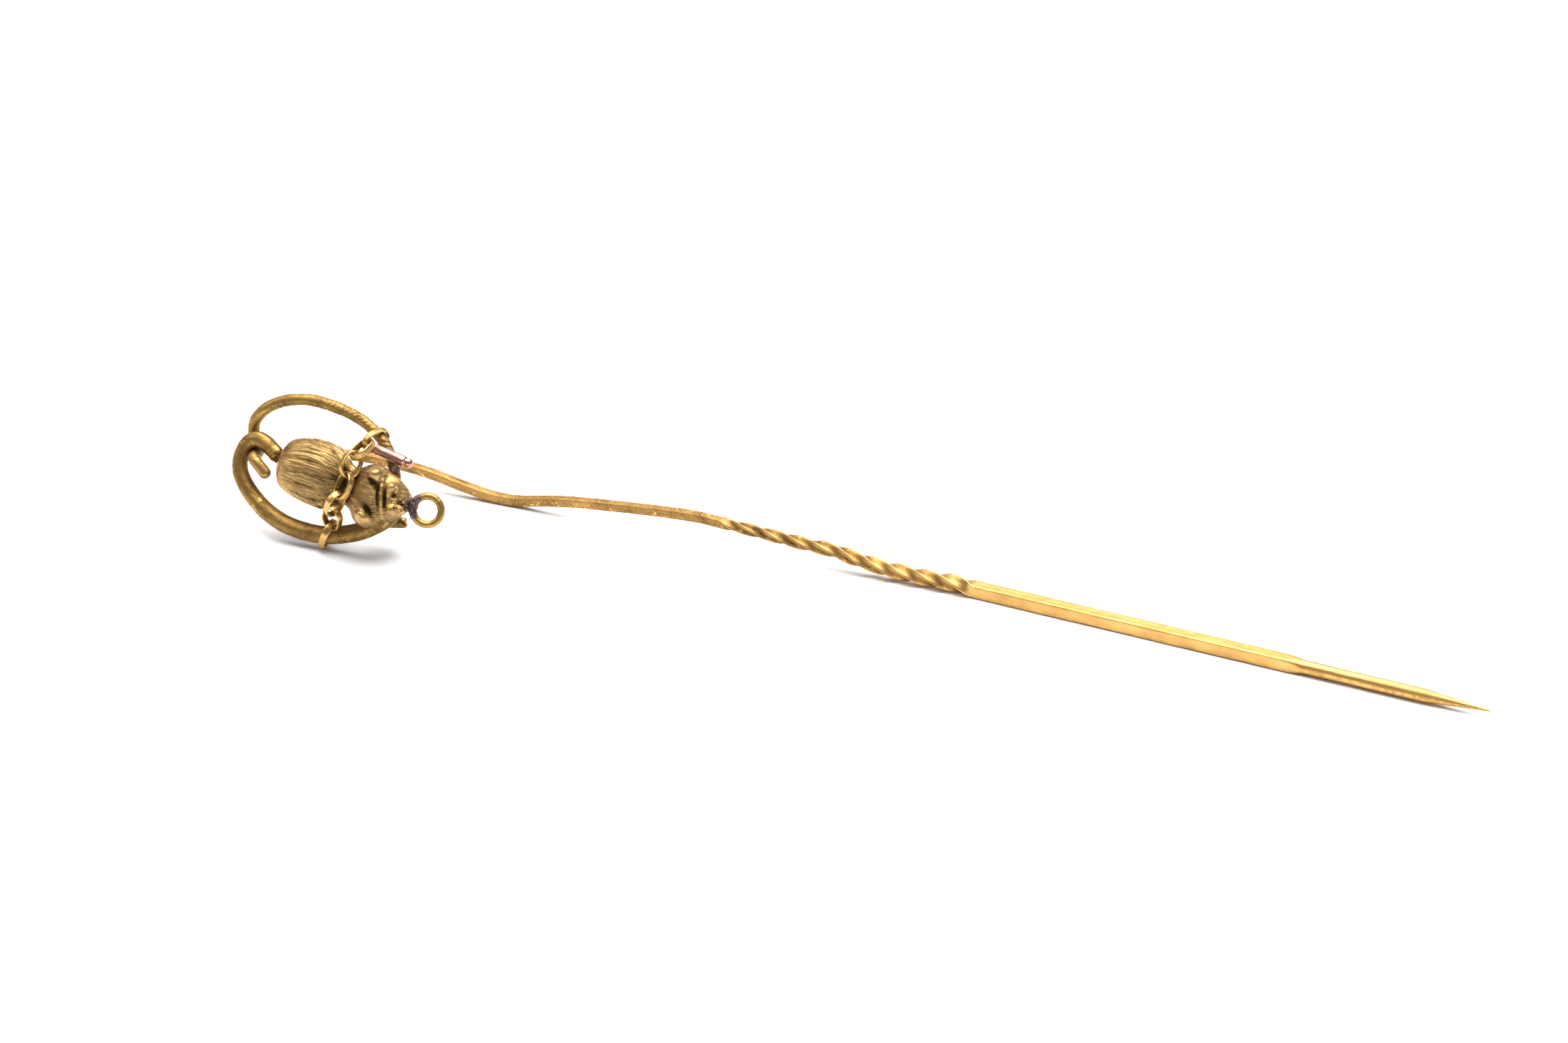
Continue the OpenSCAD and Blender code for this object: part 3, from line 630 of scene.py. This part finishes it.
def chain_link(i):
    run = np.array([(2.70, 2.32, 0.02), *LINKS, (1.30, -2.84, 0)])
    d = run[i + 2] - run[i]
    d /= np.linalg.norm(d)
    place = (turn("z", math.degrees(math.atan2(d[1], d[0]))) @ turn("y", -math.degrees(math.asin(d[2])))
             @ turn("x", ROLL[i]))
    long, wide = 1.46 + LARGER[i][0], 1.10 + LARGER[i][1]
    m, n = 200, 40
    r0 = (wide - THICK) / 2
    h = (long - wide) / 2
    # the middle of the ribbon goes round two half circles and two straights
    q = np.linspace(0, 4 * h + 2 * math.pi * r0, m, endpoint=False)
    mid, out = [], []
    for s in q:
        if s < 2 * h:
            mid.append((-h + s, -r0, 0))
            out.append((0, -1, 0))
        elif s < 2 * h + math.pi * r0:
            a = -math.pi / 2 + (s - 2 * h) / r0
            mid.append((h + r0 * math.cos(a), r0 * math.sin(a), 0))
            out.append((math.cos(a), math.sin(a), 0))
        elif s < 4 * h + math.pi * r0:
            mid.append((h - (s - 2 * h - math.pi * r0), r0, 0))
            out.append((0, 1, 0))
        else:
            a = math.pi / 2 + (s - 4 * h - math.pi * r0) / r0
            mid.append((-h + r0 * math.cos(a), r0 * math.sin(a), 0))
            out.append((math.cos(a), math.sin(a), 0))
    mid, out = np.array(mid), np.array(out)
    b = np.linspace(0, 2 * math.pi, n, endpoint=False)
    # a rounded ribbon section, a little crowned outside and worn at its edges
    c, e = np.cos(b), np.sin(b)
    y = RIBBON / 2 * np.sign(e) * np.abs(e) ** 0.45
    x = THICK / 2 * np.sign(c) * np.abs(c) ** 0.55 * (1 - 0.22 * np.abs(e) ** 2)
    s = q[:, None]
    thin = 0.90 + 0.06 * noise(s * 1.6, i * 5.0, 80 + i)
    rings = (mid[:, None] + out[:, None] * (x[None, :] * thin)[..., None]
             + np.array([0, 0, 1.0])
             * (y[None, :] * (0.97 + 0.03 * noise(s * 1.3, 7.0 + i, 90 + i)))[..., None])
    dent = 0.006 * lumps(rings + i * 3.0, 0.28, 83)
    rings = rings + out[:, None] * dent[..., None]
    edge = np.abs(e)[None, :] ** 3 * np.ones((m, 1))
    inner = np.clip(-c, 0, 1)[None, :] * np.ones((m, 1))
    # painted shade on the inner faces round the link's hole (inner); lighter at the ribbon's edges
    dirt_and_shade = np.clip(0.30 + 0.45 * inner - 0.35 * edge - dent * 20, 0, 1)
    flow = np.stack([s * np.ones((1, n)), b[None, :] * 0.2 * np.ones((m, 1)), np.full((m, n), i * 2.0)], -1)
    verts = head(rings.reshape(-1, 3) @ place.T + np.array(LINKS[i]))
    name = "link_%d" % (i + 1)
    return mesh_object("ribbon_%s" % name, verts, ring_faces(m, n, closed=True), name, name,
                       link_gold, dirt_and_shade.ravel(), flow.reshape(-1, 3))


animal()
upper_wire()
tail_loop()
snout_ring()
solder_wrap()
solder_neck()
rods()
blob("rod_drop", head(np.array([3.98, 1.34, 0.62])), (0.24, 0.17, 0.24), HEAD, "rod_solder", 101)
run = np.array([-0.02, 0.61, -0.35])
run = run / np.linalg.norm(run)
blob("stem_drop", STEM + TABLE + run * 0.16, (0.58, 0.58, 0.34),
     np.array(Vector((0, 0, 1)).rotation_difference(Vector(run)).to_matrix()), "stem_solder", 105)
pin_wire()
for number in range(7):
    chain_link(number)


# ---- table, light and camera --------------------------------------------------------------------

low, high = (np.array(c) for c in cad_box)
middle = (low + high) / 2
floor_mesh = bpy.data.meshes.new("table_top")
reach = 1.5                                             # half the table's width, in metres
floor_mesh.from_pydata([(x * reach, y * reach, low[2]) for x, y in ((-1, -1), (1, -1), (1, 1), (-1, 1))],
                       [], [(0, 1, 2, 3)])
table_top = bpy.data.objects.new("table_top", floor_mesh)
bpy.context.scene.collection.objects.link(table_top)
white = bpy.data.materials.new("white_table")
white.use_nodes = True
shader = white.node_tree.nodes["Principled BSDF"]
shader.inputs["Base Color"].default_value = (0.86, 0.86, 0.87, 1)
shader.inputs["Roughness"].default_value = 0.75
shader.inputs["Specular IOR Level"].default_value = 0.2
floor_mesh.materials.append(white)


def lamp(name, at, aim, size, power, colour=(1, 1, 1)):
    data = bpy.data.lights.new(name, "AREA")
    data.shape = "DISK"
    data.size = size
    data.energy = power
    data.color = colour
    lamp_object = bpy.data.objects.new(name, data)
    lamp_object.location = at
    lamp_object.rotation_euler = (Vector(aim) - Vector(at)).to_track_quat("-Z", "Y").to_euler()
    bpy.context.scene.collection.objects.link(lamp_object)


lamp("overhead", middle + (-0.02, 0.10, 0.36), middle, 0.50, 4.6)
lamp("side", middle + (-0.34, -0.06, 0.26), middle, 0.20, 0.5, (1.0, 0.98, 0.95))
world = bpy.data.worlds.new("room")
world.use_nodes = True
world.node_tree.nodes["Background"].inputs["Color"].default_value = (0.93, 0.95, 1.0, 1)
world.node_tree.nodes["Background"].inputs["Strength"].default_value = 0.30
bpy.context.scene.world = world

camera_data = bpy.data.cameras.new("camera")
camera = bpy.data.objects.new("camera", camera_data)
bpy.context.scene.collection.objects.link(camera)
camera_data.lens = 115.0
camera_data.sensor_width = 36
camera_data.clip_start = 0.01
camera.rotation_euler = (math.radians(59), 0, math.radians(20.5))
camera.location = TABLE * MM + np.array([0.09730, -0.19389, 0.12644])
bpy.context.scene.camera = camera
bpy.context.scene.view_settings.view_transform = "Standard"
